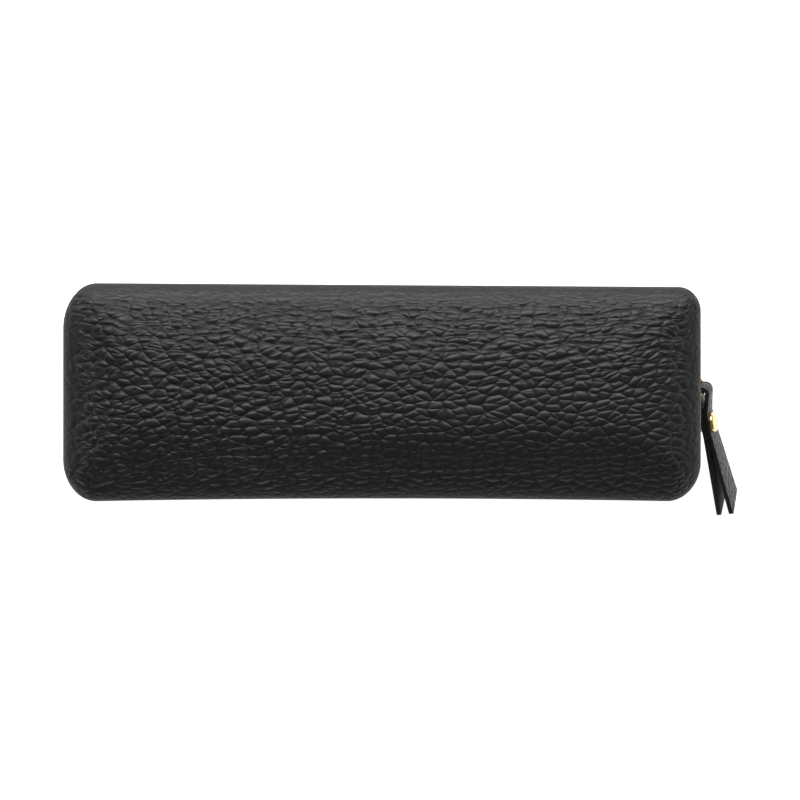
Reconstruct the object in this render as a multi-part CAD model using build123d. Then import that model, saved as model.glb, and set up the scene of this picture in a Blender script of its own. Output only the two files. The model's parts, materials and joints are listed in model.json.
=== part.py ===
from build123d import *
from math import cos, floor, radians, sin
import os

# Zip-round leather case for fountain pens: two padded leather shells, hinged on a gusset along the back.

# Overall case, in millimetres. X runs along the case, +Y is the hinge side, +Z is up.
case_length = 200.0
case_width = 68.5
case_height = 37.0
corner_radius = 11.5
crown_corner = 5.0            # least corner radius of the sections near the crown

# Layers of a shell, outside to inside
leather_thickness = 1.3
padding_thickness = 2.0       # over the crown, where it is thinnest
lining_thickness = 0.6
glue_gap = 0.05               # between glued layers

# Shell outline: lip at the zip, girth, crown
lip_gap = 8.4                 # between the two lips, across the zip
lip_depth = 5.5               # from the girth in to the lip's edge
lip_rise = 4.3                # from the lip's edge up to the girth
lid_flat_width = 12.0         # of the crown's flat
base_flat_width = 32.0        # of the flat that the lower shell rests on
lid_lining_wall = 1.9         # straight part of the lid lining's wall, under its fillet
base_lining_corner = 5.0      # fillet between the lower lining's wall and its floor

# Zip
tape_thickness = 0.5
tape_sewn = 11.0              # height of the tape's outer edge from the parting plane
tape_bead = 1.4               # height of the tape's toothed edge from the parting plane
tape_beyond_teeth = 4.0
zip_end_y = 13.0              # both ends of the row of teeth
tooth_pitch = 2.1
tooth_head_width = 0.8
tooth_base_width = 1.3
tooth_head = 0.55             # how far a tooth reaches across the parting plane
tooth_height = 2.4
tooth_thickness = 1.9
stop_length = 2.2
stop_margin = 0.6             # of that length, left clear of the teeth
box_stop_clearance = 0.3      # between the box stop and the lid's tape

# Gusset that closes the loop behind the zip and hinges the lid
gusset_thickness = 0.5
gusset_clearance = 0.1        # to the ends of the tape

# Slider, with its bail
slider_length = 10.0
slider_mouth_width = 7.6
slider_tail_width = 6.2
slider_plate = 0.7
slider_clearance = 0.15       # between the teeth and the plates
slider_post_length = 3.2
slider_post_width = 1.5
slider_post_corner = 0.5
slider_corner = 1.2
slider_chamfer = 0.25
slider_post_setback = 0.3     # from the mouth
slider_to_zip_end = 0.5
bail_width = 1.8
bail_hole_length = 8.0
bail_hole_room = 1.8          # height of the bail's hole beyond the wire
bail_bar = 0.8
bail_corner = 1.2
bail_hole_corner = 0.6

# Pull: ring, folded leather strap, rivet
wire_diameter = 1.1
ring_span = 6.0               # between the centre lines of the ring's two bars
ring_side_clearance = 0.35    # between the strap's edges and the ring's legs
ring_corner = 1.2
ring_bar_clearance = 0.2      # between the ring and the walls of the bail's hole
pull_axis = Vector(-0.36, -0.39, 0.85).normalized()
ring_heading = Vector(0.69, -0.72, 0.0)
strap_heading = Vector(0.25, -0.91, -0.3)
strap_thickness = 1.4
strap_fold_clearance = 0.35   # between the ring's bar and the inside of the fold
strap_neck_width = 5.0
strap_rivet_width = 7.2
strap_tail_width = 10.0
strap_neck_length = 2.0       # from the ring to where the strap starts to widen
strap_length_near = 41.8      # from the ring to the long corner
strap_length_far = 37.1       # from the ring to the short corner
strap_corner = 0.8
strap_tail_gap = 2.9          # between the two tails at their ends
strap_leg_gap = 0.1           # between the two legs at the rivet
strap_drop = 1.2              # from the ring's centre line back to the plane between the legs
rivet_from_ring = 10.9
rivet_land = 0.3              # flat leather beyond the cap
rivet_cap_diameter = 6.4
rivet_cap_height = 1.1
rivet_cap_round = 0.9          # fillet on its rim
rivet_post_diameter = 2.4
rivet_clearance = 0.03

# Pen loops
loop_count = 3
loop_bore = 12.4
loop_gap = 0.4                # between neighbouring loops
loop_leg = 6.0                # straight height of a loop under its round top
loop_elastic = 0.8
loop_band_width = 22.0
loop_foot = 0.5               # how far each foot spreads on the backing
backing_length = 120.0
backing_margin = 0.6          # beyond the outer loops
backing_thickness = 1.0

cut_margin = 1.0              # how far a cutting solid runs past what it cuts
half_facet = 11.25            # degrees, half of one facet of the linings' fillets

parting = case_height / 2
rivet_hole_radius = rivet_post_diameter / 2 + rivet_clearance
crown_rise = parting - lip_gap / 2 - lip_rise
lid_crown_run = (case_width - lid_flat_width) / 2
base_crown_run = (case_width - base_flat_width) / 2
band_inset = lip_depth + glue_gap                 # outer face of the tape and the gusset
zip_inset = band_inset + tape_thickness / 2       # middle of the teeth
band_thickness = max(tape_thickness, gusset_thickness)
lining_inset = band_inset + band_thickness + glue_gap
tape_end_y = zip_end_y + tape_beyond_teeth
lining_height = parting - leather_thickness - 2 * glue_gap - padding_thickness
lid_lining_corner = lining_height - lip_gap / 2 - lid_lining_wall
bail_hole_height = wire_diameter + bail_hole_room
strap_fold_radius = wire_diameter / 2 + strap_fold_clearance
ring_width = strap_neck_width + wire_diameter + 2 * ring_side_clearance   # between its legs' centre lines
loop_pitch = loop_bore + 2 * loop_elastic + loop_gap
hinge_y = case_width / 2 - zip_inset


def rounded(inset, z, least_corner=0.5):
    """The case's outline moved in by inset, at height z."""
    corner = max(corner_radius - inset, least_corner)
    return Pos(0, 0, z) * RectangleRounded(case_length - 2 * inset, case_width - 2 * inset, corner)


def prism(inset, low, high):
    return extrude(rounded(inset, low), high - low)


def shell_profile(run, depth):
    """(inset, height over the parting plane) up a shell's side, depth inside its outer face."""
    points = []
    for turn in (0, 30, 60, 90):
        rise, reach = lip_rise * sin(radians(turn)), lip_depth * cos(radians(turn))
        size = (rise * rise + reach * reach) ** 0.5
        inset = lip_depth * (1 - sin(radians(turn))) + depth * rise / size
        height = lip_gap / 2 + lip_rise * (1 - cos(radians(turn))) + depth * reach / size
        points.append((inset, height))
    for turn in (18, 36, 54, 72, 90):
        rise, reach = crown_rise * cos(radians(turn)), run * sin(radians(turn))
        size = (rise * rise + reach * reach) ** 0.5
        inset = run * (1 - cos(radians(turn))) + depth * rise / size
        height = lip_gap / 2 + lip_rise + crown_rise * sin(radians(turn)) - depth * reach / size
        points.append((inset, height))
    return points


def puffed(run, depth):
    """A shell's full volume over the parting plane, depth inside its outer face."""
    sections = [rounded(inset, height, crown_corner) for inset, height in shell_profile(run, depth)]
    return loft(sections, ruled=True)


def lining_block(inset, height, corner):
    """The space inside a shell, with its wall at inset, up to height."""
    run = corner + lining_inset - inset
    sections = [rounded(inset, lip_gap / 2)]
    for turn in [2 * half_facet * i for i in range(5)]:
        level = height - run * (1 - sin(radians(turn)))
        sections.append(rounded(inset + run * (1 - cos(radians(turn))), level, crown_corner))
    return loft(sections, ruled=True)


def shell_layers(run, corner):
    """Leather, padding and lining of a shell, as it stands over the parting plane."""
    edge = lip_gap / 2
    leather = puffed(run, 0) - puffed(run, leather_thickness)
    leather -= prism(lip_depth, edge - cut_margin, edge + leather_thickness + cut_margin)
    core = prism(lip_depth, edge, tape_sewn + glue_gap)
    core += lining_block(lining_inset - glue_gap, lining_height + glue_gap, corner)
    padding = puffed(run, leather_thickness + glue_gap) - core
    lining = lining_block(lining_inset, lining_height, corner)
    lining -= lining_block(lining_inset + lining_thickness, lining_height - lining_thickness, corner)
    return leather, padding, lining


def to_lid(shape):
    return Pos(0, 0, parting) * shape


def to_base(shape):
    return Pos(0, 0, parting) * mirror(shape, Plane.XY)


def front_part(shape, limit_y):
    """What lies in front of limit_y, where the zip runs."""
    depth = case_width / 2 + limit_y
    cutter = Pos(0, limit_y - depth / 2, 0) * Box(case_length, depth, 2 * case_height)
    return shape & cutter


def zip_path(inset, end_y):
    """The loop's front stretch at inset: down the +X end, along the front, up the -X end."""
    x, y, r = case_length / 2 - inset, case_width / 2 - inset, corner_radius - inset
    return Wire(
        [
            Line((x, end_y), (x, r - y)).edge(),
            CenterArc((x - r, r - y), r, 0, -90).edge(),
            Line((x - r, -y), (r - x, -y)).edge(),
            CenterArc((r - x, r - y), r, -90, -90).edge(),
            Line((-x, r - y), (-x, end_y)).edge(),
        ]
    )


def along(path, distance, shape):
    """shape moved to a distance along path, its X along the path and its Y pointing outwards."""
    place = path.position_at(distance, position_mode=PositionMode.LENGTH)
    heading = path.tangent_at(distance, position_mode=PositionMode.LENGTH)
    return Plane(origin=place, x_dir=heading, z_dir=(0, 0, 1)).location * shape


def tooth():
    """One tooth of the upper row, its head reaching down across the parting plane."""
    head, base = tooth_head_width / 2, tooth_base_width / 2
    outline = Polyline(
        (-head, -tooth_head), (head, -tooth_head), (head, tooth_head), (base, 2 * tooth_head),
        (base, tooth_height), (-base, tooth_height), (-base, 2 * tooth_head), (-head, tooth_head),
        close=True,
    )
    face = Plane.XZ * make_face(outline)
    return extrude(face, tooth_thickness / 2, both=True)


def teeth_row(first):
    """The teeth of the upper row, from first along the zip's path."""
    path = zip_path(zip_inset, zip_end_y)
    row_start, row_end = post_end + slider_clearance + tooth_base_width / 2 + first, path.length - stop_length
    count = floor((row_end - row_start) / tooth_pitch)
    one = tooth()
    return Compound(children=[along(path, row_start + i * tooth_pitch, one) for i in range(count)])


def end_stop(low):
    """A stop crimped on the tape, from low up to the height of the teeth."""
    block = Box(stop_length - stop_margin, tooth_thickness, tooth_height - low)
    return Pos(0, 0, (tooth_height + low) / 2) * block


def band(thickness):
    """The upright band behind the lip, over the parting plane."""
    ring = prism(band_inset, 0, tape_sewn) - prism(band_inset + thickness, 0, tape_sewn)
    return ring


def tape():
    return front_part(band(tape_thickness), tape_end_y) - prism(0, 0, tape_bead)


def gusset():
    """The leather strip round the back, from one end of the zip to the other."""
    half = band(gusset_thickness)
    half -= front_part(half, tape_end_y + gusset_clearance)
    return half + mirror(half, Plane.XY)


post_end = slider_to_zip_end + slider_post_setback + slider_post_length
slider_y = zip_end_y - slider_to_zip_end - slider_length / 2
slider_travel = slider_y - slider_length / 2 + case_width / 2 - corner_radius
channel = tooth_thickness + 2 * slider_clearance
zip_x = case_length / 2 - zip_inset
plate_face = zip_x + channel / 2 + slider_plate     # outer face of the slider


def slider_outline():
    """The slider's face, mouth towards +Y, seen along the zip's normal."""
    half = slider_length / 2
    mouth, tail = slider_mouth_width / 2, slider_tail_width / 2
    outline = Polyline((-half, -tail), (half, -mouth), (half, mouth), (-half, tail), close=True)
    face = make_face(outline)
    return fillet(face.vertices(), slider_corner)


def slider_frame(x):
    """A plane facing +X at x, with its own X along +Y, centred on the slider."""
    return Plane(origin=(x, slider_y, parting), x_dir=(0, 1, 0), z_dir=(1, 0, 0))


def slider_body():
    """Two plates joined by the post that parts the teeth, open at both sides for the tapes."""
    outline = slider_outline()
    block = extrude(slider_frame(zip_x - channel / 2 - slider_plate) * outline, channel + 2 * slider_plate)
    gap = Pos(zip_x, slider_y, parting)
    gap *= Box(channel, slider_length + cut_margin, slider_mouth_width + cut_margin)
    post_y = zip_end_y - post_end + slider_post_length / 2
    post = Pos(zip_x, post_y, parting) * Box(channel, slider_post_length, slider_post_width)
    body = (block - gap) + fillet(post.edges().filter_by(Axis.X), slider_post_corner)
    return chamfer(body.faces().sort_by(Axis.X)[-1].edges(), slider_chamfer)


def bail():
    """The bridge on the slider's face that the ring hangs in."""
    height = bail_hole_height + bail_bar
    length = bail_hole_length + 2 * bail_bar
    block = Pos(plate_face + height / 2, slider_y, parting) * Box(height, length, bail_width)
    block = fillet(block.edges().filter_by(Axis.Z).group_by(Axis.X)[-1], bail_corner)
    hole = Pos(plate_face + bail_hole_height / 2, slider_y, parting)
    hole *= Box(bail_hole_height, bail_hole_length, bail_width + cut_margin)
    hole = fillet(hole.edges().filter_by(Axis.Z).group_by(Axis.X)[-1], bail_hole_corner)
    return block - hole


# The ring's bar lies in the outer near corner of the bail's hole, tipped over by the strap's weight.
bar_room = wire_diameter / 2 + ring_bar_clearance
lean_x = bail_width / 2 * abs(pull_axis.X / pull_axis.Z)
lean_y = bail_width / 2 * abs(pull_axis.Y / pull_axis.Z)
bar_x = plate_face + bail_hole_height - bar_room - lean_x
bar_y = slider_y - bail_hole_length / 2 + bar_room + lean_y
bar_centre = Vector(bar_x, bar_y, parting)
ring_heading = (ring_heading - pull_axis * ring_heading.dot(pull_axis)).normalized()
strap_heading = (strap_heading - pull_axis * strap_heading.dot(pull_axis)).normalized()
fold_centre = bar_centre + ring_heading * ring_span


def pull_ring():
    """Ring of round wire, one bar in the bail and the other in the strap's fold."""
    middle = bar_centre + ring_heading * (ring_span / 2)
    frame = Plane(origin=middle, x_dir=pull_axis, z_dir=pull_axis.cross(ring_heading))
    loop = frame * RectangleRounded(ring_width, ring_span, ring_corner)
    path = loop.wires()[0]
    section = Plane(origin=path @ 0, z_dir=path % 0) * Circle(wire_diameter / 2)
    return sweep(section, path)


def strap_frame():
    """X down the strap, Y out of its outer face, Z along the ring's bar."""
    return Plane(origin=fold_centre, x_dir=strap_heading, z_dir=pull_axis)


def strap_side():
    """The strap on edge: a fold round the ring, legs that meet at the rivet, tails that part."""
    inner, outer = strap_leg_gap / 2, strap_leg_gap / 2 + strap_thickness
    tail = strap_tail_gap / 2
    land = rivet_cap_diameter / 2 + rivet_land
    start, end, far = rivet_from_ring - land, rivet_from_ring + land, strap_length_near + cut_margin

    def drop(radius, half):
        closing = Line((start, -strap_drop - half), (start, half - strap_drop)).edge()
        return make_hull([Circle(radius).edge(), closing])

    fold = drop(strap_fold_radius + strap_thickness, outer) - drop(strap_fold_radius, inner)
    leg = make_face(
        Polyline(
            (start, inner), (end, inner), (far, tail), (far, tail + strap_thickness), (end, outer),
            (start, outer), close=True,
        )
    )
    return fold + Pos(0, -strap_drop) * (leg + mirror(leg, Plane.XZ))


def strap_outline():
    """The strap laid flat, seen through its face: narrow at the ring, wide at its slanting tails."""
    neck, middle, tail = strap_neck_width / 2, strap_rivet_width / 2, strap_tail_width / 2
    start = -strap_fold_radius - strap_thickness - cut_margin
    outline = make_face(
        Polyline(
            (start, -neck), (strap_neck_length, -neck), (rivet_from_ring, -middle), (strap_length_far, -tail),
            (strap_length_near, tail), (rivet_from_ring, middle), (strap_neck_length, neck), (start, neck),
            close=True,
        )
    )
    ends = outline.vertices().group_by(Axis.X)
    return fillet(ends[-1] + ends[-2], strap_corner)


def strap():
    """The folded leather strip, with the rivet's hole."""
    depth = strap_drop + 2 * strap_thickness + strap_tail_gap
    face = Plane(origin=(0, 0, 0), x_dir=(1, 0, 0), z_dir=(0, -1, 0))
    flat = extrude(face * strap_outline(), depth, both=True)
    edgewise = extrude(strap_side(), strap_tail_width, both=True)
    hole = Pos(rivet_from_ring, -strap_drop, 0) * Rotation(90, 0, 0)
    hole *= Cylinder(rivet_hole_radius, 2 * strap_thickness + strap_leg_gap + cut_margin)
    return strap_frame().location * ((edgewise & flat) - hole)


def rivet():
    """Front cap with its socket, and back cap with its post, both on the strap's frame."""
    face = strap_leg_gap / 2 + strap_thickness + rivet_clearance
    radius = rivet_cap_diameter / 2

    def on_rivet(level, shape):
        return Pos(rivet_from_ring, level - strap_drop, 0) * Rotation(90, 0, 0) * shape

    def cap(side):
        disc = on_rivet(side * (face + rivet_cap_height / 2), Cylinder(radius, rivet_cap_height))
        rim = disc.faces().sort_by(Axis.Y)[-1 if side > 0 else 0].edges()
        return fillet(rim, rivet_cap_round)

    reach = 2 * face + rivet_cap_height / 2
    post = on_rivet(reach / 2 - face, Cylinder(rivet_post_diameter / 2, reach))
    room = on_rivet(reach / 2 - face, Cylinder(rivet_hole_radius, reach + 2 * rivet_clearance))
    place = strap_frame().location
    return place * (cap(1) - room), place * (cap(-1) + post)


def rise_on_fillet(width):
    """How far a panel wider than the lining's flat floor rides up on the fillets beside it."""
    flat = case_width / 2 - lining_inset - base_lining_corner
    fillet_radius = base_lining_corner - lining_thickness
    reach = min(max(width / 2 - flat, 0), fillet_radius)     # past the fillet the wall is upright
    chord_room = 2 * fillet_radius * (1 - cos(radians(half_facet))) if reach else 0
    return fillet_radius - (fillet_radius * fillet_radius - reach * reach) ** 0.5 + chord_room


def pen_loop(index):
    """One elastic loop, sewn to the backing by its two feet."""
    y = (index - (loop_count - 1) / 2) * loop_pitch
    inner, outer = loop_bore / 2, loop_bore / 2 + loop_elastic
    arch = Pos(0, loop_leg) * (Circle(outer) - Circle(inner))
    arch &= Pos(0, loop_leg + outer / 2) * Rectangle(2 * outer, outer)
    for side in (-1, 1):
        arch += Pos(side * (inner + loop_elastic / 2), loop_leg / 2) * Rectangle(loop_elastic, loop_leg)
        arch += Pos(side * (inner - loop_foot / 2), loop_elastic / 2) * Rectangle(loop_foot, loop_elastic)
    frame = Plane(origin=(-loop_band_width / 2, y, loop_floor), x_dir=(0, 1, 0), z_dir=(1, 0, 0))
    return extrude(frame * arch, loop_band_width)


lining_floor = leather_thickness + 2 * glue_gap + padding_thickness + lining_thickness
backing_width = (loop_count - 1) * loop_pitch + loop_bore + 2 * (loop_elastic + backing_margin)
backing_floor = lining_floor + glue_gap + rise_on_fillet(backing_width)
loop_floor = backing_floor + backing_thickness + glue_gap

lid_leather, lid_padding, lid_lining = shell_layers(lid_crown_run, lid_lining_corner)
base_leather, base_padding, base_lining = shell_layers(base_crown_run, base_lining_corner)
rivet_front, rivet_back = rivet()
path = zip_path(zip_inset, zip_end_y)
closed_end, open_end = stop_length / 2, path.length - stop_length / 2
stop_at_closed = along(path, closed_end, end_stop(slider_post_width / 2 + slider_clearance))
stop_at_open = along(path, open_end, end_stop(box_stop_clearance - tape_bead))
backing = Pos(0, 0, backing_floor + backing_thickness / 2)
backing *= Box(backing_length, backing_width, backing_thickness)

parts = {
    "lid_leather": to_lid(lid_leather),
    "lid_padding": to_lid(lid_padding),
    "lid_lining": to_lid(lid_lining),
    "lid_zip_tape": to_lid(tape()),
    "lid_zip_teeth": to_lid(teeth_row(0)),
    "lid_zip_stop": to_lid(stop_at_closed),
    "base_leather": to_base(base_leather),
    "base_padding": to_base(base_padding),
    "base_lining": to_base(base_lining),
    "base_zip_tape": to_base(tape()),
    "base_zip_teeth": to_base(teeth_row(tooth_pitch / 2)),
    "base_zip_stop": to_base(stop_at_closed),
    "zip_box_stop": to_base(stop_at_open),
    "hinge_gusset": Pos(0, 0, parting) * gusset(),
    "loop_backing": backing,
    "slider_body": slider_body(),
    "slider_bail": bail(),
    "pull_ring": pull_ring(),
    "pull_strap": strap(),
    "rivet_front_cap": rivet_front,
    "rivet_back_cap": rivet_back,
}
for index in range(loop_count):
    parts[f"pen_loop_{index + 1}"] = pen_loop(index)

os.makedirs("parts", exist_ok=True)
for name, shape in parts.items():
    export_step(shape, f"parts/{name}.step")

print("hinge at", (0, round(hinge_y, 3), parting))
print("slider travel", round(slider_travel, 3))
print("ring bar at", bar_centre, "fold at", fold_centre, "axis", pull_axis)
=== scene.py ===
import bmesh
import bpy
import json
import math
import numpy as np
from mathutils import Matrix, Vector


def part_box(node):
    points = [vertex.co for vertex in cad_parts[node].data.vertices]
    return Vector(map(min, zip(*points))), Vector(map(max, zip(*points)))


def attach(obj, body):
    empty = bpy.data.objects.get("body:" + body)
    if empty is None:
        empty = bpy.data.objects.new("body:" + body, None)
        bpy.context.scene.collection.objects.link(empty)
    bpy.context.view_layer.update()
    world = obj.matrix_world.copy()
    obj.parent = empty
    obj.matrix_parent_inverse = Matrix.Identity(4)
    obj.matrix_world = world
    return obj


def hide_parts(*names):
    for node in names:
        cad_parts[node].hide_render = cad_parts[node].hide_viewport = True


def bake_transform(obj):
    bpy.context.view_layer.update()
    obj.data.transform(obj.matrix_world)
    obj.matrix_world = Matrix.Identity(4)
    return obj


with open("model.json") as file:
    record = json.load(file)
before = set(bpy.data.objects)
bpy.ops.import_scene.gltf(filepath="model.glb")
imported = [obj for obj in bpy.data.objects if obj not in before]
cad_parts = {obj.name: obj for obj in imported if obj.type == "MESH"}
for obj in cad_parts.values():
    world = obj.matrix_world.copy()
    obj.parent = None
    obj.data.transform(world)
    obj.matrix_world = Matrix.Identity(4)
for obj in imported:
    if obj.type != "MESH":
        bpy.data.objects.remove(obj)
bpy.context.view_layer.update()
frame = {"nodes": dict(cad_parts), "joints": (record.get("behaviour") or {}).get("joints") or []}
mm = 0.001

print("stage: reading the frame")
lidLow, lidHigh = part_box("lid_leather")
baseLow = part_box("base_leather")[0]
halfLength, halfWidth = lidHigh.x, lidHigh.y
parting = (lidHigh.z + baseLow.z) / 2
lipHalfGap = lidLow.z - parting
caseRise = lidHigh.z - parting - lipHalfGap
joints = {joint["name"]: joint for joint in frame["joints"]}

shellLook = {
    "lipDepth": 5.5 * mm,
    "lipRise": 4.3 * mm,
    "lidFlat": 12 * mm,
    "lidPuff": 1.22,  # 2 is an ellipse, 1 slopes evenly to the girth
    "baseFlat": 32 * mm,
    "basePuff": 2.0,
    "leather": 1.3 * mm,
    "glue": 0.05 * mm,
    # each corner's reach along the long side and along the end
    "corners": {
        "backRight": (7.0 * mm, 8.0 * mm),
        "backLeft": (10.7 * mm, 14.4 * mm),
        "frontLeft": (10.4 * mm, 13.2 * mm),
        "frontRight": (10.7 * mm, 12.6 * mm),
    },
    "leastCorner": 5 * mm,
    "backPull": 0.65 * mm,  # how far the back's girth is drawn in, at the middle
    "backSlant": 0.0065,  # and how that grows towards the pull
    "frontPull": 0.85 * mm,
    "alongLong": 300,
    "alongShort": 72,
    "alongCorner": 26,
    "lipRows": 14,
    "crownRows": 52,
    "flatRows": 9,
    "innerRows": 6,
    "poleMerge": 0.01 * mm,
}


def deselectAll():
    for o in bpy.context.selected_objects:
        o.select_set(False)


def makeObject(name, verts, faces):
    mesh = bpy.data.meshes.new(name)
    mesh.from_pydata([tuple(v) for v in verts], [], faces)
    mesh.validate()
    obj = bpy.data.objects.new(name, mesh)
    bpy.context.scene.collection.objects.link(obj)
    return obj


def tidyNormals(obj, merge=1e-6):
    work = bmesh.new()
    work.from_mesh(obj.data)
    bmesh.ops.remove_doubles(work, verts=work.verts, dist=merge)
    bmesh.ops.recalc_face_normals(work, faces=work.faces)
    work.to_mesh(obj.data)
    work.free()


def smoothAll(obj):
    obj.data.polygons.foreach_set("use_smooth", [True] * len(obj.data.polygons))


def applyAll(obj):
    deselectAll()
    bpy.context.view_layer.objects.active = obj
    obj.select_set(True)
    for modifier in list(obj.modifiers):
        bpy.ops.object.modifier_apply(modifier=modifier.name)
    obj.select_set(False)


def give(obj, *materials):
    obj.data.materials.clear()
    for material in materials:
        obj.data.materials.append(material)


def finish(obj, body, slot, *nodes):
    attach(obj, body)
    if nodes:
        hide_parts(*nodes)
    print("made", obj.name, len(obj.data.polygons), "faces")


def drawnIn(x, y, share):
    # the girth of a soft case isn't quite straight
    look = shellLook
    if y > 0:
        pull = look["backPull"] + look["backSlant"] * x
    else:
        pull = look["frontPull"] * max(0.0, 1 - (x / (0.9 * halfLength)) ** 2)
    return y * (1 - share * max(0.0, pull) / halfWidth)


def ringPoints(inset, share=0.0):
    # the case's outline moved in by inset, anticlockwise from the middle of the right end
    look = shellLook
    points = []
    x, y = halfLength - inset, halfWidth - inset
    least = look["leastCorner"]
    sizes = {}
    for name, (long, short) in look["corners"].items():
        sizes[name] = (max(long - inset, least), min(max(short - inset, least), 0.98 * y))

    def line(a, b, count):
        for i in range(count):
            t = i / count
            points.append((a[0] + (b[0] - a[0]) * t, a[1] + (b[1] - a[1]) * t))

    def corner(name, sx, sy, start):
        long, short = sizes[name]
        for i in range(look["alongCorner"]):
            a = start + math.pi / 2 * i / look["alongCorner"]
            points.append((sx * (x - long) + long * math.cos(a), sy * (y - short) + short * math.sin(a)))

    br, bl, fl, fr = (sizes[n] for n in ("backRight", "backLeft", "frontLeft", "frontRight"))
    line((x, 0), (x, y - br[1]), look["alongShort"] // 2)
    corner("backRight", 1, 1, 0)
    line((x - br[0], y), (bl[0] - x, y), look["alongLong"])
    corner("backLeft", -1, 1, math.pi / 2)
    line((-x, y - bl[1]), (-x, 0), look["alongShort"] // 2)
    line((-x, 0), (-x, fl[1] - y), look["alongShort"] // 2)
    corner("frontLeft", -1, -1, math.pi)
    line((fl[0] - x, -y), (x - fr[0], -y), look["alongLong"])
    corner("frontRight", 1, -1, 1.5 * math.pi)
    line((x, fr[1] - y), (x, 0), look["alongShort"] // 2)
    return [(px, drawnIn(px, py, share)) for px, py in points]


def shellProfile(side, depth, lipRows, crownRows):
    # (inset, height over the parting plane) from the lip's edge to the crown, depth inside the face
    look = shellLook
    run, rise = halfWidth - look[side + "Flat"] / 2, caseRise - look["lipRise"]
    puff = look[side + "Puff"]

    def outerPoint(u):
        if u < 1:
            a = math.pi / 2 * u
            return look["lipDepth"] * (1 - math.sin(a)), lipHalfGap + look["lipRise"] * (1 - math.cos(a))
        t = 1 - math.cos(math.pi / 2 * min(u - 1, 1))
        level = (1 - (1 - t) ** 2) ** (1 / puff)
        return run * t, lipHalfGap + look["lipRise"] + rise * level

    rows = []
    spots = [i / lipRows for i in range(lipRows)] + [1 + i / crownRows for i in range(crownRows + 1)]
    for u in spots:
        (a, b), (c, d) = outerPoint(max(u - 0.004, 0)), outerPoint(min(u + 0.004, 2))
        size = math.hypot(c - a, d - b)
        inset, level = outerPoint(u)
        rows.append((inset + depth * (d - b) / size, level - depth * (c - a) / size))
    return rows


def toMiddle(rows, steps):
    # carries a profile on, level, until it nearly meets its other side
    last = halfWidth - 0.4 * mm
    start, level = rows[-1]
    return rows + [(start + (last - start) * i / steps, level) for i in range(1, steps + 1)]


def closeCap(faces, base, count):
    # joins the last ring across its narrow width
    for i in range(count // 2):
        a, b = i, (i + 1) % count
        c, d = (count - i - 1) % count, (count - i) % count
        corners = list(dict.fromkeys((base + a, base + b, base + c, base + d)))
        if len(corners) > 2:
            faces.append(tuple(corners))


def shellBetween(name, outer, inner, sign, drawn=(1, 1)):
    # a closed shell between two profiles, with each point's place on the flattened hide
    verts, hide = [], []
    last = halfWidth - 0.4 * mm
    count = len(ringPoints(0))
    for rows, share in zip((outer, inner), drawn):
        lengths = [0.0]
        for (a, b), (c, d) in zip(rows, rows[1:]):
            lengths.append(lengths[-1] + math.hypot(c - a, d - b))
        for (inset, level), length in zip(rows, lengths):
            lift = min(max((level - lipHalfGap) / shellLook["lipRise"], 0.0), 1.0)
            ring = ringPoints(inset, share * lift * lift * (3 - 2 * lift))
            flat = ringPoints(last - lengths[-1] + length)
            for (px, py), (hx, hy) in zip(ring, flat):
                verts.append((px, py, parting + sign * level))
                hide.append((hx, hy, sign * 0.5))
    innerStart = len(outer) * count
    faces = []
    for offset, rows in ((0, len(outer)), (innerStart, len(inner))):
        for r in range(rows - 1):
            for i in range(count):
                a, b = offset + r * count + i, offset + r * count + (i + 1) % count
                faces.append((a, b, b + count, a + count))
        closeCap(faces, offset + (rows - 1) * count, count)
    for i in range(count):
        j = (i + 1) % count
        faces.append((i, j, innerStart + j, innerStart + i))
    obj = makeObject(name, verts, faces)
    attribute = obj.data.attributes.new("grainCoord", "FLOAT_VECTOR", "POINT")
    attribute.data.foreach_set("vector", np.array(hide, np.float32).ravel())
    outside = obj.data.attributes.new("outside", "FLOAT", "POINT")
    mask = [1.0] * innerStart + [0.0] * (len(verts) - innerStart)
    outside.data.foreach_set("value", np.array(mask, np.float32))
    work = bmesh.new()
    work.from_mesh(obj.data)
    # the rings bunch up at the two ends of the flat crown, so each bunch becomes one point
    bmesh.ops.remove_doubles(work, verts=work.verts, dist=shellLook["poleMerge"])
    bmesh.ops.recalc_face_normals(work, faces=work.faces)
    work.to_mesh(obj.data)
    work.free()
    smoothAll(obj)
    return obj


print("stage: materials")


def addNode(tree, kind, sockets=None, **settings):
    # a node with its settings, and a value or a link in each named socket
    node = tree.nodes.new(kind)
    for name, value in settings.items():
        setattr(node, name, value)
    for name, value in (sockets or {}).items():
        if isinstance(value, bpy.types.NodeSocket):
            tree.links.new(value, node.inputs[name])
        else:
            node.inputs[name].default_value = value
    return node


def calc(tree, operation, a, b=0.0, c=None, clamp=False):
    sockets = {0: a, 1: b}
    if c is not None:
        sockets[2] = c
    return addNode(tree, "ShaderNodeMath", sockets, operation=operation, use_clamp=clamp).outputs[0]


def vector(tree, operation, a, b):
    return addNode(tree, "ShaderNodeVectorMath", {0: a, 1: b}, operation=operation).outputs[0]


def newGroup(name, kind, sockets):
    group = bpy.data.node_groups.new(name, kind)
    for label, direction, form, value in sockets:
        socket = group.interface.new_socket(name=label, in_out=direction, socket_type=form)
        if value is not None:
            socket.default_value = value
    return group


grainLook = {
    "size": 2.75 * mm,
    "fine": 1.15 * mm,
    "crease": 3.3 * mm,
    "dip": 5.5 * mm,
    "roundness": 2.5,  # how soon a pebble levels off
    "line": 9.0,  # how narrow the valleys are, where shade is painted in near black
    "levelShare": 0.95,
    "slantedShare": 0.75,
    "slant": -24,
    "depth": 0.42 * mm,
    "bump": 0.55 * mm,
    "border": 8.5 * mm,
    # painted shade: the near-black colour of the valleys between the pebbles
    "valleyShade": (0.0012, 0.0011, 0.0011),
    "top": (0.0125, 0.0121, 0.0118),
    "tint": (0.0165, 0.0108, 0.0108),
}


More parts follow.
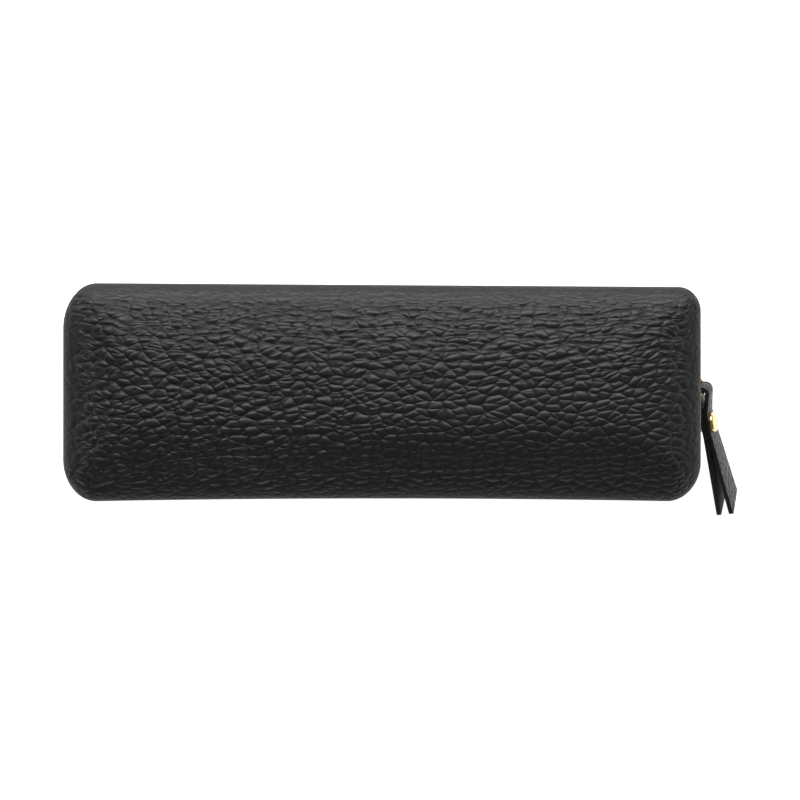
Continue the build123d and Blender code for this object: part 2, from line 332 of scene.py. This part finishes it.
def warped(tree, coord, scale, amount):
    noise = addNode(tree, "ShaderNodeTexNoise", {"Vector": coord, "Scale": scale, "Detail": 2.0})
    shift = vector(tree, "SUBTRACT", noise.outputs["Color"], (0.5, 0.5, 0.5))
    return vector(tree, "ADD", coord, vector(tree, "MULTIPLY", shift, (amount, amount, 0)))


def edgeDistance(tree, coord, size, stretch):
    drawn = vector(tree, "MULTIPLY", coord, stretch)
    edge = addNode(tree, "ShaderNodeTexVoronoi", {"Vector": drawn, "Scale": 1 / size},
                   feature="DISTANCE_TO_EDGE", voronoi_dimensions="2D")
    return edge.outputs["Distance"]


def cellEdges(tree, coord, size, stretch, sharp):
    return calc(tree, "MULTIPLY", edgeDistance(tree, coord, size, stretch), sharp, clamp=True)


def rounded(tree, distance, sharp):
    # rises out of the valley like a pebble and levels off
    away = calc(tree, "SUBTRACT", 1.0, calc(tree, "MULTIPLY", distance, sharp, clamp=True))
    return calc(tree, "SUBTRACT", 1.0, calc(tree, "MULTIPLY", away, away))


def cellDomes(tree, coord, size, stretch):
    drawn = vector(tree, "MULTIPLY", coord, stretch)
    near = addNode(tree, "ShaderNodeTexVoronoi", {"Vector": drawn, "Scale": 1 / size},
                   feature="F1", voronoi_dimensions="2D")
    far = calc(tree, "POWER", calc(tree, "MULTIPLY", near.outputs["Distance"], 1.15), 2.0)
    return calc(tree, "SUBTRACT", 1.0, far, clamp=True)


def hideParts(tree, coord):
    # pebbles and the valleys between them, creases that dip along the back, and a finer, flatter border
    look = grainLook
    moved = warped(tree, warped(tree, coord, 45, 5.0 * mm), 160, 1.6 * mm)
    place = addNode(tree, "ShaderNodeSeparateXYZ", {0: coord})
    x, y = place.outputs["X"], place.outputs["Y"]
    share = calc(tree, "POWER", calc(tree, "MULTIPLY", x, 1 / halfLength), 2.0)
    sway = calc(tree, "MULTIPLY", share, -look["dip"])
    swayed = vector(tree, "ADD", moved, addNode(tree, "ShaderNodeCombineXYZ", {"Y": sway}).outputs[0])
    stretch = (0.70, 1.18, 1.0)
    gap = edgeDistance(tree, swayed, look["size"], stretch)
    dome = calc(tree, "MULTIPLY", calc(tree, "ADD", rounded(tree, gap, look["roundness"]),
                                       cellDomes(tree, swayed, look["size"], stretch)), 0.5)
    # two families of creases cross into diamonds; the level one is strongest towards the back
    levelGap = edgeDistance(tree, swayed, look["crease"], (0.17, 1.0, 1.0))
    turned = addNode(tree, "ShaderNodeVectorRotate", {"Vector": swayed, "Angle": math.radians(look["slant"])},
                     rotation_type="Z_AXIS").outputs[0]
    slantedGap = edgeDistance(tree, turned, look["crease"], (0.30, 1.0, 1.0))
    back = calc(tree, "MULTIPLY", calc(tree, "ADD", y, 6 * mm), 1 / (20 * mm), clamp=True)
    left = calc(tree, "MULTIPLY", calc(tree, "SUBTRACT", 45 * mm, x), 1 / (80 * mm), clamp=True)

    def weakened(crease, amount, share):
        return calc(tree, "SUBTRACT", 1.0, calc(tree, "MULTIPLY", calc(tree, "SUBTRACT", 1.0, crease),
                                                calc(tree, "MULTIPLY", amount, share)))

    def line(distance):
        return calc(tree, "MULTIPLY", distance, look["line"], clamp=True)

    def fold(distance):
        return rounded(tree, distance, look["roundness"])

    def crossed(form):
        return calc(tree, "MULTIPLY", weakened(form(levelGap), back, look["levelShare"]),
                    weakened(form(slantedGap), left, look["slantedShare"]))

    # how far inside the border a point lies
    inside = []
    for axis, reach in ((x, halfLength), (y, halfWidth)):
        away = calc(tree, "SUBTRACT", reach, calc(tree, "ABSOLUTE", axis))
        inside.append(calc(tree, "MULTIPLY", calc(tree, "ADD", away, 2.0 * mm), 1 / look["border"], clamp=True))
    inner = calc(tree, "MINIMUM", inside[0], inside[1])
    inner = calc(tree, "POWER", inner, 1.6)
    fineDome = cellDomes(tree, moved, look["fine"], (0.9, 1.1, 1.0))
    opened = calc(tree, "MULTIPLY", line(gap), crossed(line))
    return dome, opened, crossed(fold), inner, fineDome


def grainGroup():
    group = newGroup("hideGrain", "ShaderNodeTree", [
        ("Vector", "INPUT", "NodeSocketVector", None), ("Pore", "INPUT", "NodeSocketFloat", 0.1),
        ("Height", "OUTPUT", "NodeSocketFloat", None), ("Open", "OUTPUT", "NodeSocketFloat", None)])
    start, end = group.nodes.new("NodeGroupInput"), group.nodes.new("NodeGroupOutput")
    coord = start.outputs["Vector"]
    dome, opened, folds, inner, fineDome = hideParts(group, coord)
    rough = addNode(group, "ShaderNodeTexNoise", {"Vector": coord, "Scale": 1900.0, "Detail": 3.0})
    pores = calc(group, "MULTIPLY", rough.outputs["Fac"], start.outputs["Pore"])
    large = calc(group, "ADD", calc(group, "MULTIPLY", dome, 0.65), calc(group, "MULTIPLY", folds, 0.55))
    small = calc(group, "MULTIPLY_ADD", fineDome, 0.16, 0.75)
    mixed = calc(group, "ADD", calc(group, "MULTIPLY", large, inner),
                 calc(group, "MULTIPLY", small, calc(group, "SUBTRACT", 1.0, inner)))
    group.links.new(calc(group, "ADD", mixed, pores), end.inputs["Height"])
    shut = calc(group, "MULTIPLY", calc(group, "SUBTRACT", 1.0, opened), inner)
    group.links.new(calc(group, "SUBTRACT", 1.0, shut), end.inputs["Open"])
    return group


def pressGrain(obj):
    # the pebbles as real relief on the outer face; the material adds the narrow valleys
    tree = newGroup("pressGrain", "GeometryNodeTree", [
        ("Geometry", "INPUT", "NodeSocketGeometry", None), ("Geometry", "OUTPUT", "NodeSocketGeometry", None)])
    start, end = tree.nodes.new("NodeGroupInput"), tree.nodes.new("NodeGroupOutput")
    where = addNode(tree, "GeometryNodeInputNamedAttribute", {"Name": "grainCoord"}, data_type="FLOAT_VECTOR")
    outside = addNode(tree, "GeometryNodeInputNamedAttribute", {"Name": "outside"}, data_type="FLOAT")
    dome, _, folds, inner, _ = hideParts(tree, where.outputs["Attribute"])
    low = calc(tree, "SUBTRACT", calc(tree, "MULTIPLY", calc(tree, "ADD", dome, folds), 0.5), 1.0)
    sink = calc(tree, "MULTIPLY", calc(tree, "MULTIPLY", low, inner), outside.outputs["Attribute"])
    reach = calc(tree, "MULTIPLY", sink, grainLook["depth"])
    normal = tree.nodes.new("GeometryNodeInputNormal").outputs[0]
    move = addNode(tree, "ShaderNodeVectorMath", {0: normal, "Scale": reach}, operation="SCALE").outputs[0]
    moved = addNode(tree, "GeometryNodeSetPosition", {"Geometry": start.outputs[0], "Offset": move})
    tree.links.new(moved.outputs[0], end.inputs[0])
    modifier = obj.modifiers.new("pressGrain", "NODES")
    modifier.node_group = tree
    applyAll(obj)


def weaveGroup():
    # over and under threads on each pair of axes
    group = newGroup("weave", "ShaderNodeTree", [
        ("Vector", "INPUT", "NodeSocketVector", None), ("Pitch", "INPUT", "NodeSocketFloat", 0.5 * mm),
        ("Height", "OUTPUT", "NodeSocketFloat", None)])
    start, end = group.nodes.new("NodeGroupInput"), group.nodes.new("NodeGroupOutput")
    place = addNode(group, "ShaderNodeSeparateXYZ", {0: start.outputs["Vector"]})
    rate = calc(group, "DIVIDE", math.pi, start.outputs["Pitch"])
    waves = [calc(group, "SINE", calc(group, "MULTIPLY", place.outputs[axis], rate)) for axis in "XYZ"]
    pairs = [calc(group, "MULTIPLY", waves[a], waves[b]) for a, b in ((0, 1), (1, 2), (0, 2))]
    total = calc(group, "ADD", calc(group, "ADD", pairs[0], pairs[1]), pairs[2])
    group.links.new(calc(group, "MULTIPLY_ADD", total, 0.3, 0.5, clamp=True), end.inputs["Height"])
    return group


hideGrain, weave = grainGroup(), weaveGroup()


def newMaterial(name, color, roughness, metallic=0.0):
    m = bpy.data.materials.new(name)
    m.use_nodes = True
    shader = m.node_tree.nodes["Principled BSDF"]
    shader.inputs["Base Color"].default_value = (*color, 1)
    shader.inputs["Roughness"].default_value = roughness
    shader.inputs["Metallic"].default_value = metallic
    return m, m.node_tree, shader


def addBump(tree, shader, height, strength, distance):
    bump = addNode(tree, "ShaderNodeBump", {"Height": height, "Strength": strength, "Distance": distance})
    tree.links.new(bump.outputs[0], shader.inputs["Normal"])


def ramp(tree, fac, low, high, lowAt=0.0, highAt=1.0):
    node = addNode(tree, "ShaderNodeValToRGB", {0: fac})
    for element, color, at in zip(node.color_ramp.elements, (low, high), (lowAt, highAt)):
        element.position = at
        element.color = (*color, 1)
    return node.outputs[0]


def useGroup(tree, group, **sockets):
    node = addNode(tree, "ShaderNodeGroup", node_tree=group)
    for name, value in sockets.items():
        if isinstance(value, bpy.types.NodeSocket):
            tree.links.new(value, node.inputs[name])
        else:
            node.inputs[name].default_value = value
    return node


def mapped(tree, value, low, high):
    return addNode(tree, "ShaderNodeMapRange", {"Value": value, "To Min": low, "To Max": high}).outputs[0]


def hideMaterial(name, coord, bump, top, roughLow, roughHigh):
    m, tree, shader = newMaterial(name, top, roughHigh)
    where = coord(tree)
    grain = useGroup(tree, hideGrain, Vector=where, Pore=0.1)
    # painted shade: the valleys between the pebbles are coloured near black
    paintedValleyShade = ramp(tree, grain.outputs["Open"], grainLook["valleyShade"], top, 0.05, 0.95)
    drift = addNode(tree, "ShaderNodeTexNoise", {"Vector": where, "Scale": 14.0, "Detail": 1.0})
    share = calc(tree, "MULTIPLY", calc(tree, "SUBTRACT", drift.outputs["Fac"], 0.5, clamp=True), 2.0, clamp=True)
    tinted = addNode(tree, "ShaderNodeMix", data_type="RGBA", blend_type="MIX")
    tree.links.new(calc(tree, "MULTIPLY", share, grain.outputs["Open"]), tinted.inputs[0])
    tree.links.new(paintedValleyShade, tinted.inputs[6])
    tinted.inputs[7].default_value = (*grainLook["tint"], 1)
    tree.links.new(tinted.outputs[2], shader.inputs["Base Color"])
    addBump(tree, shader, grain.outputs["Height"], 1.0, bump)
    tree.links.new(mapped(tree, grain.outputs["Open"], roughLow, roughHigh), shader.inputs["Roughness"])
    return m


def attributeCoord(name):
    return lambda tree: addNode(tree, "ShaderNodeAttribute", attribute_name=name).outputs["Vector"]


def objectCoord(tree):
    return tree.nodes.new("ShaderNodeTexCoord").outputs["Object"]


def strapMaterial():
    # the hide's grain, drawn out along the strap
    m, tree, shader = newMaterial("strapLeather", (0.015, 0.015, 0.015), 0.4)
    where = attributeCoord("strapCoord")(tree)
    bent = warped(tree, where, 220, 1.2 * mm)
    edges = cellEdges(tree, bent, 1.5 * mm, (0.42, 1.15, 1.0), 3.6)
    domes = cellDomes(tree, bent, 1.5 * mm, (0.42, 1.15, 1.0))
    # painted shade: the valleys between the strap's pebbles are coloured near black
    tree.links.new(ramp(tree, edges, (0.0022, 0.0021, 0.0021), (0.021, 0.020, 0.0195), 0.0, 0.8),
                   shader.inputs["Base Color"])
    addBump(tree, shader, calc(tree, "ADD", edges, domes), 1.0, 0.28 * mm)
    tree.links.new(mapped(tree, edges, 0.6, 0.36), shader.inputs["Roughness"])
    return m


def rawEdgeMaterial():
    # dyed edge, browner towards the fold
    m, tree, shader = newMaterial("rawEdge", (0.01, 0.008, 0.007), 0.7)
    where = attributeCoord("strapCoord")(tree)
    along = addNode(tree, "ShaderNodeSeparateXYZ", {0: where}).outputs["X"]
    nearFold = addNode(tree, "ShaderNodeMapRange", {"Value": along, "From Min": 9 * mm, "From Max": 1 * mm}).outputs[0]
    fibre = addNode(tree, "ShaderNodeTexNoise", {"Vector": where, "Scale": 1500.0, "Detail": 4.0}).outputs["Fac"]
    color = addNode(tree, "ShaderNodeMix", data_type="RGBA", blend_type="MIX")
    tree.links.new(calc(tree, "MULTIPLY", nearFold, fibre, clamp=True), color.inputs[0])
    tree.links.new(ramp(tree, fibre, (0.002, 0.0017, 0.0016), (0.016, 0.013, 0.012), 0.35, 0.75), color.inputs[6])
    color.inputs[7].default_value = (0.060, 0.022, 0.017, 1)
    tree.links.new(color.outputs[2], shader.inputs["Base Color"])
    addBump(tree, shader, fibre, 0.6, 0.15 * mm)
    return m


def wovenMaterial(name, low, high, pitch, bump=0.12 * mm):
    m, tree, shader = newMaterial(name, high, 0.85)
    where = objectCoord(tree)
    threads = useGroup(tree, weave, Vector=where, Pitch=pitch).outputs["Height"]
    fuzz = addNode(tree, "ShaderNodeTexNoise", {"Vector": where, "Scale": 2200.0, "Detail": 3.0}).outputs["Fac"]
    both = calc(tree, "MULTIPLY_ADD", fuzz, 0.35, threads)
    tree.links.new(ramp(tree, both, low, high, 0.2, 1.0), shader.inputs["Base Color"])
    addBump(tree, shader, both, 0.8, bump)
    shader.inputs["Sheen Weight"].default_value = 0.25
    shader.inputs["Sheen Roughness"].default_value = 0.5
    return m


def elasticMaterial():
    # ribs run with the stretch, round the pen
    m, tree, shader = newMaterial("elasticCloth", (0.012, 0.012, 0.013), 0.8)
    where = objectCoord(tree)
    across = addNode(tree, "ShaderNodeSeparateXYZ", {0: where}).outputs["X"]
    ribs = calc(tree, "SINE", calc(tree, "MULTIPLY", across, math.pi / (0.45 * mm)))
    ribs = calc(tree, "MULTIPLY_ADD", ribs, 0.5, 0.5)
    threads = useGroup(tree, weave, Vector=where, Pitch=0.3 * mm).outputs["Height"]
    both = calc(tree, "MULTIPLY_ADD", threads, 0.35, ribs)
    tree.links.new(ramp(tree, both, (0.010, 0.010, 0.010), (0.050, 0.050, 0.052), 0.1, 1.2),
                   shader.inputs["Base Color"])
    addBump(tree, shader, both, 0.9, 0.16 * mm)
    return m


def foamMaterial():
    m, tree, shader = newMaterial("foam", (0.16, 0.16, 0.16), 0.95)
    cells = addNode(tree, "ShaderNodeTexVoronoi", {"Vector": objectCoord(tree), "Scale": 1 / (0.5 * mm)})
    tree.links.new(ramp(tree, cells.outputs["Distance"], (0.05, 0.05, 0.05), (0.2, 0.2, 0.2)),
                   shader.inputs["Base Color"])
    addBump(tree, shader, cells.outputs["Distance"], 0.5, 0.2 * mm)
    return m


def goldMaterial():
    m, tree, shader = newMaterial("paleGold", (0.86, 0.62, 0.34), 0.24, 1.0)
    where = objectCoord(tree)
    marks = addNode(tree, "ShaderNodeTexNoise", {"Vector": where, "Scale": 700.0, "Detail": 5.0}).outputs["Fac"]
    tree.links.new(mapped(tree, marks, 0.14, 0.34), shader.inputs["Roughness"])
    tree.links.new(ramp(tree, marks, (0.76, 0.52, 0.26), (0.92, 0.70, 0.42), 0.3, 0.7),
                   shader.inputs["Base Color"])
    addBump(tree, shader, marks, 0.15, 0.02 * mm)
    return m


def threadMaterial():
    m, tree, shader = newMaterial("thread", (0.02, 0.02, 0.02), 0.6)
    twist = addNode(tree, "ShaderNodeTexNoise", {"Vector": objectCoord(tree), "Scale": 3000.0}).outputs["Fac"]
    tree.links.new(ramp(tree, twist, (0.008, 0.008, 0.008), (0.035, 0.034, 0.033), 0.3, 0.7),
                   shader.inputs["Base Color"])
    addBump(tree, shader, twist, 0.7, 0.08 * mm)
    return m


caseLeather = hideMaterial("caseLeather", attributeCoord("grainCoord"), grainLook["bump"], grainLook["top"],
                           0.62, 0.40)
gussetLeather = hideMaterial("gussetLeather", attributeCoord("gussetCoord"), 0.15 * mm, (0.014, 0.0137, 0.0133),
                             0.6, 0.45)
strapLeather, rawEdge = strapMaterial(), rawEdgeMaterial()
foamCloth = foamMaterial()
liningCloth = wovenMaterial("liningCloth", (0.022, 0.022, 0.023), (0.070, 0.068, 0.070), 0.55 * mm)
tapeCloth = wovenMaterial("tapeCloth", (0.005, 0.005, 0.005), (0.020, 0.020, 0.021), 0.35 * mm)
elasticCloth = elasticMaterial()
paleGold = goldMaterial()
stitchThread = threadMaterial()

print("stage: shells")
liningLook = {
    "inset": 6.1 * mm,
    "tapeInset": 5.45 * mm,
    "tapeTop": 11.1 * mm,
    "roof": 3.4 * mm,
    "thick": 0.6 * mm,
    "baseCorner": 5 * mm,
    "steps": 8,
}


def liningRows(side, depth):
    # up the wall, then along under the crown, or round a fillet on to the lower shell's flat floor
    look = liningLook
    wall = look["inset"] + depth
    if side == "lid":
        under = shellProfile("lid", look["roof"] + depth, 4, 20)
        over = [row for row in under if row[0] > wall + 0.3 * mm and row[1] > look["tapeTop"]]
        return [(wall, lipHalfGap), (wall, (lipHalfGap + over[0][1]) / 2)] + over
    top = caseRise + lipHalfGap - look["roof"] - depth
    turn = look["baseCorner"] - depth
    rows = [(wall, lipHalfGap), (wall, (lipHalfGap + top - turn) / 2)]
    for i in range(look["steps"] + 1):
        a = math.pi / 2 * i / look["steps"]
        rows.append((wall + turn * (1 - math.cos(a)), top - turn * (1 - math.sin(a))))
    return rows


def paddingRows(side, top):
    # behind the tape first, then against the lining
    look = liningLook
    behind = [(look["tapeInset"], top), (look["tapeInset"], look["tapeTop"])]
    over = [row for row in liningRows(side, -shellLook["glue"]) if row[1] > look["tapeTop"] + 0.1 * mm]
    return behind + [(over[0][0], look["tapeTop"])] + over


def makeShell(side, sign):
    look = shellLook
    outer = toMiddle(shellProfile(side, 0.0, look["lipRows"], look["crownRows"]), look["flatRows"])
    inner = toMiddle(shellProfile(side, look["leather"], 3, look["innerRows"] * 2), 2)
    hide = shellBetween(side + "Leather", outer, inner, sign)
    pressGrain(hide)
    give(hide, caseLeather)
    finish(hide, side, "leather", side + "_leather")
    padTop = toMiddle(shellProfile(side, look["leather"] + 2 * look["glue"], 4, look["innerRows"] * 2), 2)
    padUnder = toMiddle(paddingRows(side, padTop[0][1]), 2)
    pad = shellBetween(side + "Padding", padTop, padUnder, sign, (1, 0))
    give(pad, foamCloth)
    finish(pad, side, "foam", side + "_padding")
    cloth = shellBetween(side + "Lining", toMiddle(liningRows(side, 0.0), 3),
                         toMiddle(liningRows(side, liningLook["thick"]), 3), sign, (0, 0))
    give(cloth, liningCloth)
    finish(cloth, side, "lining", side + "_lining")


makeShell("lid", 1)
makeShell("base", -1)

print("stage: gusset")
gussetLook = {"rows": 24, "fold": 3.0 * mm, "bulge": 0.25 * mm, "thick": 0.5 * mm}


def makeGusset():
    low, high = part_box("hinge_gusset")
    ring = ringPoints(halfWidth - high.y + gussetLook["thick"] / 2)
    back = [q for q in ring[:len(ring) // 2 + 1] if q[1] > low.y]
    lengths = [0.0]
    for a, b in zip(back, back[1:]):
        lengths.append(lengths[-1] + math.dist(a, b))
    verts, faces, coords = [], [], []
    rows = gussetLook["rows"]
    for r in range(rows + 1):
        z = low.z + (high.z - low.z) * r / rows
        out = gussetLook["bulge"] * math.cos((z - parting) / (high.z - parting) * math.pi / 2)
        for (x, y), length in zip(back, lengths):
            away = 1 - out / halfWidth
            verts.append((x * away, y * away, z))
            coords += [length - lengths[-1] / 2, z - parting, 0.0]
    for r in range(rows):
        for i in range(len(back) - 1):
            a = r * len(back) + i
            faces.append((a, a + 1, a + 1 + len(back), a + len(back)))
    obj = makeObject("hingeGusset", verts, faces)
    flat = obj.data.attributes.new("gussetCoord", "FLOAT_VECTOR", "POINT")
    flat.data.foreach_set("vector", np.array(coords, np.float32))
    wall = obj.modifiers.new("thickness", "SOLIDIFY")
    wall.thickness = gussetLook["thick"]
    wall.offset = 0
    applyAll(obj)
    tidyNormals(obj)
    smoothAll(obj)
    return obj


gusset = makeGusset()
give(gusset, gussetLeather)
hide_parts("hinge_gusset")
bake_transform(gusset)

print("stage: pen loops")
loopLook = {"thick": 0.8 * mm, "around": 40, "across": 22, "waist": 0.35 * mm}


def makeLoop(node):
    low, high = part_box(node)
    middle, radius = (low.y + high.y) / 2, (high.y - low.y) / 2 - loopLook["thick"] / 2
    top = high.z - loopLook["thick"] / 2 - radius
    foot = low.z + loopLook["thick"] / 2
    path = [(middle + radius - 1.0 * mm, foot)]
    path += [(middle + radius, foot + (top - foot) * i / 6) for i in range(1, 7)]
    for i in range(1, loopLook["around"]):
        a = math.pi * i / loopLook["around"]
        path.append((middle + radius * math.cos(a), top + radius * math.sin(a)))
    path += [(2 * middle - y, z) for y, z in reversed(path[:7])]
    verts, faces = [], []
    for j in range(loopLook["across"] + 1):
        t = j / loopLook["across"]
        pull = loopLook["waist"] * (1 - (2 * t - 1) ** 2)
        for y, z in path:
            verts.append((low.x + (high.x - low.x) * t, y, z - pull * max(0.0, (z - top) / radius)))
    n = len(path)
    for j in range(loopLook["across"]):
        for i in range(n - 1):
            a = j * n + i
            faces.append((a, a + 1, a + 1 + n, a + n))
    obj = makeObject(node.replace("pen_loop_", "penLoop"), verts, faces)
    wall = obj.modifiers.new("thickness", "SOLIDIFY")
    wall.thickness = loopLook["thick"]
    wall.offset = 0
    applyAll(obj)
    tidyNormals(obj)
    smoothAll(obj)
    give(obj, elasticCloth)
    finish(obj, "base", "elastic", node)


for node in ("pen_loop_1", "pen_loop_2", "pen_loop_3"):
    makeLoop(node)


backingLook = {"bevel": 0.35 * mm, "segments": 3}


def makeBacking():
    low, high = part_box("loop_backing")
    deselectAll()
    bpy.ops.mesh.primitive_cube_add(size=1, location=(low + high) / 2, scale=high - low)
    obj = bpy.context.active_object
    obj.name = obj.data.name = "loopBacking"
    bpy.ops.object.transform_apply(location=True, rotation=False, scale=True)
    bpy.ops.object.mode_set(mode="EDIT")
    bpy.ops.mesh.select_all(action="SELECT")
    bpy.ops.mesh.bevel(offset=backingLook["bevel"], segments=backingLook["segments"])
    bpy.ops.object.mode_set(mode="OBJECT")
    bpy.ops.object.transform_apply(location=True, rotation=True, scale=True)
    smoothAll(obj)
    give(obj, liningCloth)
    finish(obj, "base", "lining", "loop_backing")


makeBacking()

print("stage: stitches")
stitchLook = {"length": 2.2 * mm, "pitch": 3.2 * mm, "thread": 0.26 * mm, "inset": 3.6 * mm, "drawn": 0.02}


def oneStitch():
    deselectAll()
    bpy.ops.mesh.primitive_cylinder_add(vertices=8, radius=stitchLook["thread"], depth=stitchLook["length"] * 0.7)
    obj = bpy.context.active_object
    bpy.ops.object.mode_set(mode="EDIT")
    for side in (-1, 1):
        bpy.ops.mesh.select_all(action="DESELECT")
        work = bmesh.from_edit_mesh(obj.data)
        for face in work.faces:
            face.select = face.normal.z * side > 0.9
        bmesh.update_edit_mesh(obj.data)
        tip = side * stitchLook["length"] * 0.15
        bpy.ops.mesh.extrude_region_move(TRANSFORM_OT_translate={"value": (0, 0, tip)})
        bpy.ops.transform.resize(value=(0.45, 0.45, 0.45))
    bpy.ops.object.mode_set(mode="OBJECT")
    verts = [v.co.copy() for v in obj.data.vertices]
    faces = [tuple(f.vertices) for f in obj.data.polygons]
    bpy.data.objects.remove(obj)
    return verts, faces


def stitchRow(side, sign, shape):
    look = shellLook
    turn = math.asin(1 - stitchLook["inset"] / look["lipDepth"])
    level = lipHalfGap + look["lipRise"] * (1 - math.cos(turn))
    outline = ringPoints(stitchLook["inset"], stitchLook["drawn"])
    ring = [Vector((x, y, parting + sign * level)) for x, y in outline]
    lengths = [0.0]
    for a, b in zip(ring, ring[1:] + ring[:1]):
        lengths.append(lengths[-1] + (b - a).length)
    count = round(lengths[-1] / stitchLook["pitch"])
    verts, faces = [], []
    step = 0
    for k in range(count):
        at = lengths[-1] * (k + 0.5) / count
        while lengths[step + 1] < at:
            step += 1
        a, b = ring[step], ring[(step + 1) % len(ring)]
        along = (b - a).normalized()
        place = a + along * (at - lengths[step])
        outward = along.cross(Vector((0, 0, 1)))
        start = len(verts)
        for v in shape[0]:
            verts.append(place + along * v.z + outward * v.x + Vector((0, 0, sign * v.y)))
        faces += [tuple(start + i for i in f) for f in shape[1]]
    obj = makeObject(side + "Stitches", verts, faces)
    tidyNormals(obj, 1e-8)
    smoothAll(obj)
    give(obj, stitchThread)
    finish(obj, side, "zip_tape")


shape = oneStitch()
stitchRow("lid", 1, shape)
stitchRow("base", -1, shape)

print("stage: pull strap")
strapLook = {"bevel": 0.16 * mm, "edge": 0.6, "tail": 30 * mm, "sharp": 50, "smooth": 35}


def makeStrap():
    source = frame["nodes"]["pull_strap"]
    obj = source.copy()
    obj.data = source.data.copy()
    for key in [k for k in obj.keys() if k.startswith("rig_")]:
        del obj[key]
    obj.parent = None
    obj.name = obj.data.name = "pullStrap"
    bpy.context.scene.collection.objects.link(obj)
    work = bmesh.new()
    work.from_mesh(obj.data)
    bmesh.ops.remove_doubles(work, verts=work.verts, dist=1e-6)
    bmesh.ops.dissolve_limit(work, angle_limit=math.radians(1), verts=work.verts, edges=work.edges)
    work.to_mesh(obj.data)
    work.free()
    soften = obj.modifiers.new("soften", "BEVEL")
    soften.width = strapLook["bevel"]
    soften.segments = 2
    soften.limit_method = "ANGLE"
    soften.angle_limit = math.radians(strapLook["sharp"])
    applyAll(obj)
    joint = joints["strap_swing"]
    across = Vector(joint["axis"]).normalized()
    front, back = [sum(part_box(n), Vector()) / 2 for n in ("rivet_front_cap", "rivet_back_cap")]
    outward = (front - back).normalized()
    outward = (outward - across * outward.dot(across)).normalized()
    down = outward.cross(across).normalized()
    origin = Vector(joint["pos_m"])
    middle = ((front + back) / 2 - origin).dot(outward)
    coords = []
    for v in obj.data.vertices:
        r = v.co - origin
        coords += [r.dot(down), r.dot(across), r.dot(outward)]
    attribute = obj.data.attributes.new("strapCoord", "FLOAT_VECTOR", "POINT")
    attribute.data.foreach_set("vector", np.array(coords, np.float32))
    give(obj, strapLeather, rawEdge)
    for f in obj.data.polygons:
        height = (f.center - origin).dot(outward) - middle
        inner = f.normal.dot(outward) * height < 0
        cutEdge = abs(f.normal.dot(across)) > strapLook["edge"]
        tailEnd = (f.center - origin).dot(down) > strapLook["tail"] and abs(f.normal.dot(outward)) < 0.5
        f.material_index = 1 if inner or cutEdge or tailEnd else 0
        f.use_smooth = False
    deselectAll()
    obj.select_set(True)
    bpy.context.view_layer.objects.active = obj
    bpy.ops.object.shade_smooth_by_angle(angle=math.radians(strapLook["smooth"]))
    obj.select_set(False)
    finish(obj, "strap", "strap_leather", "pull_strap")


makeStrap()

print("stage: carried nodes")
finishes = {
    "gold": (paleGold, ["slider_body", "slider_bail", "pull_ring", "rivet_front_cap", "rivet_back_cap",
                        "lid_zip_teeth", "base_zip_teeth", "lid_zip_stop", "base_zip_stop", "zip_box_stop"]),
    "tape": (tapeCloth, ["lid_zip_tape", "base_zip_tape"]),
}
for material, names in finishes.values():
    for name in names:
        give(frame["nodes"][name], material)

print("stage: floor, light and camera")
studio = {
    "view": 253.4 * mm,
    "aim": (5.65 * mm, -2.5 * mm),
    "lens": 120,
    "sensor": 36,
    "world": 0.14,
    "key": 2.5,
    "keyPlace": (0, 0.31, 0.30),
    "keySize": (0.75, 0.24),
    "fill": 0.15,
    "floorGlow": 0.95,
    "floor": 60,
    "fillPlace": (0.1, -0.2, 1.3),
    "fillSize": (1.4, 1.4),
}
bpy.ops.mesh.primitive_plane_add(size=studio["floor"], location=(0, 0, 0))
floor = bpy.context.active_object
floor.name = "floor"
floorMaterial, _, floorShader = newMaterial("floorPaper", (0.93, 0.93, 0.93), 0.9)
floorShader.inputs["Emission Color"].default_value = (1, 1, 1, 1)
floorShader.inputs["Emission Strength"].default_value = studio["floorGlow"]
give(floor, floorMaterial)
world = bpy.data.worlds.new("studio")
bpy.context.scene.world = world
world.use_nodes = True
world.node_tree.nodes["Background"].inputs[0].default_value = (1, 1, 1, 1)
world.node_tree.nodes["Background"].inputs[1].default_value = studio["world"]


def softLight(name, place, target, size, power):
    data = bpy.data.lights.new(name, "AREA")
    data.shape = "RECTANGLE"
    data.size, data.size_y = size
    data.energy = power
    lamp = bpy.data.objects.new(name, data)
    lamp.location = place
    lamp.rotation_euler = (Vector(target) - Vector(place)).to_track_quat("-Z", "Y").to_euler()
    bpy.context.scene.collection.objects.link(lamp)


softLight("keyLight", studio["keyPlace"], (0, 0, 0.02), studio["keySize"], studio["key"])
softLight("fillLight", studio["fillPlace"], (0, 0, 0), studio["fillSize"], studio["fill"])
bpy.context.scene.view_settings.view_transform = "Standard"
camera = bpy.data.objects.new("camera", bpy.data.cameras.new("camera"))
bpy.context.scene.collection.objects.link(camera)
camera.data.lens = studio["lens"]
camera.data.sensor_width = studio["sensor"]
distance = studio["view"] * studio["lens"] / studio["sensor"]
camera.location = (studio["aim"][0], studio["aim"][1], parting + distance)
camera.data.clip_start = 0.01
bpy.context.scene.camera = camera
